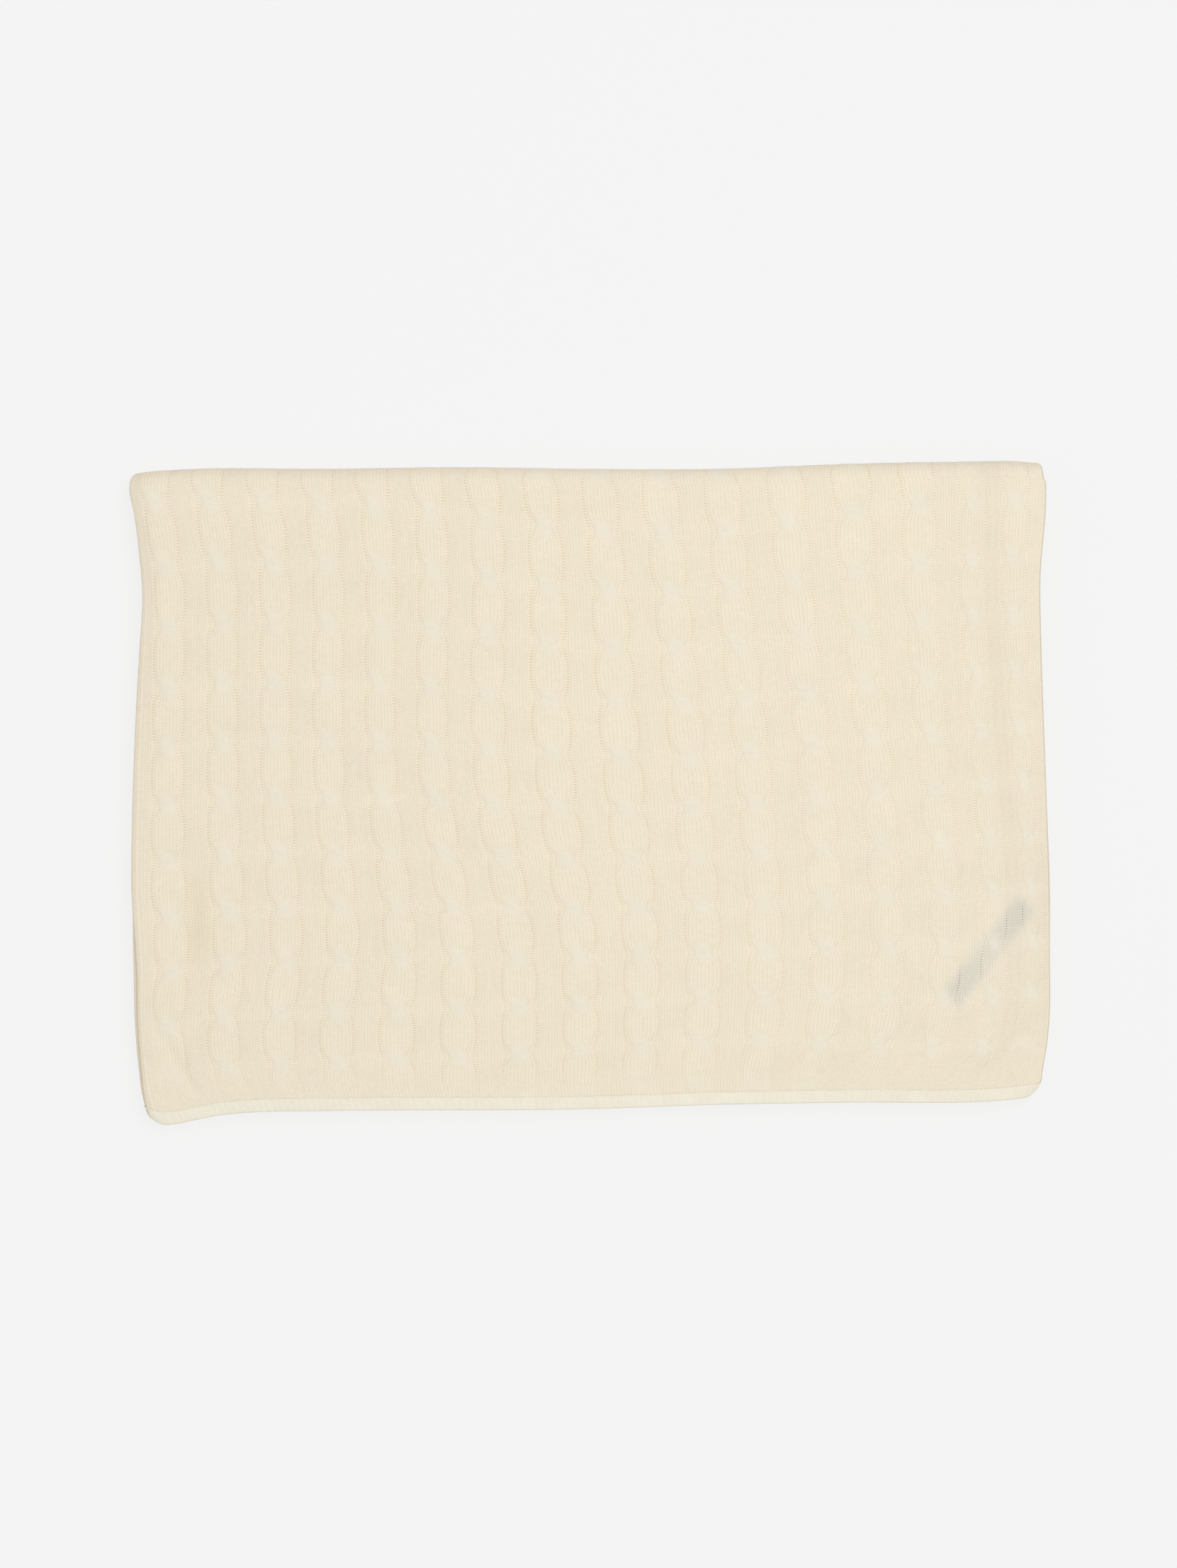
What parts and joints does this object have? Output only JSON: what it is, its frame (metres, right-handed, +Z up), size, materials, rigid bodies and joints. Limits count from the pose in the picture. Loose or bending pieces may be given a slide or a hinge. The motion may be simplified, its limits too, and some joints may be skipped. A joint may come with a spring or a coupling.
{
  "type": "folded throw blanket",
  "caption": "Cream cable-knit cotton throw folded to a flat rectangle, with ribbed hems and a woven label between its layers; the upper half folds open.",
  "frame": {"origin": "middle of the folded throw's underside, on the surface it lies on", "axes": "+X from the book folds to the open side, +Y from the free hems to the back turns, +Z up"},
  "size_m": [0.65, 0.454, 0.0283],
  "materials": {
    "cable_knit_cotton": "soft matte cotton knit with raised cables",
    "rib_knit_cotton": "soft matte cotton rib",
    "sewing_thread": "matte cotton thread",
    "label_satin": "woven navy satin, plain"
  },
  "bodies": {
    "lower_half": {"leaf2_face_ply": "cable_knit_cotton", "leaf2_lining_ply": "cable_knit_cotton", "leaf2_book_fold": "cable_knit_cotton", "leaf3_lining_ply": "cable_knit_cotton", "leaf3_face_ply": "cable_knit_cotton", "leaf3_book_fold": "cable_knit_cotton", "front_turn_lining_ply": "cable_knit_cotton", "front_turn_face_ply": "cable_knit_cotton", "front_turn_book_fold": "cable_knit_cotton", "inner_turn_face_ply": "cable_knit_cotton", "inner_turn_lining_ply": "cable_knit_cotton", "inner_turn_book_fold": "cable_knit_cotton", "outer_turn_lining_ply": "cable_knit_cotton", "outer_turn_face_ply": "cable_knit_cotton", "outer_turn_book_fold": "cable_knit_cotton"},
    "upper_half": {"leaf4_face_ply": "cable_knit_cotton", "leaf4_lining_ply": "cable_knit_cotton", "leaf4_book_fold": "cable_knit_cotton", "leaf1_lining_ply": "cable_knit_cotton", "leaf1_face_ply": "cable_knit_cotton", "leaf1_book_fold": "cable_knit_cotton", "finishing_hem": "rib_knit_cotton", "finishing_linking_seam": "sewing_thread", "starting_hem": "rib_knit_cotton", "starting_linking_seam": "sewing_thread", "corner_label": "label_satin", "label_stitches": "sewing_thread"}
  },
  "joints": [
    {"name": "unfold", "type": "hinge", "parent": "lower_half", "child": "upper_half", "pos_m": [0, 0.21315, 0.01415], "axis": [-1, 0, 0], "range_deg": [0, 180], "deforming": ["inner_turn_face_ply", "inner_turn_lining_ply", "inner_turn_book_fold", "outer_turn_lining_ply", "outer_turn_face_ply", "outer_turn_book_fold"]}
  ]
}
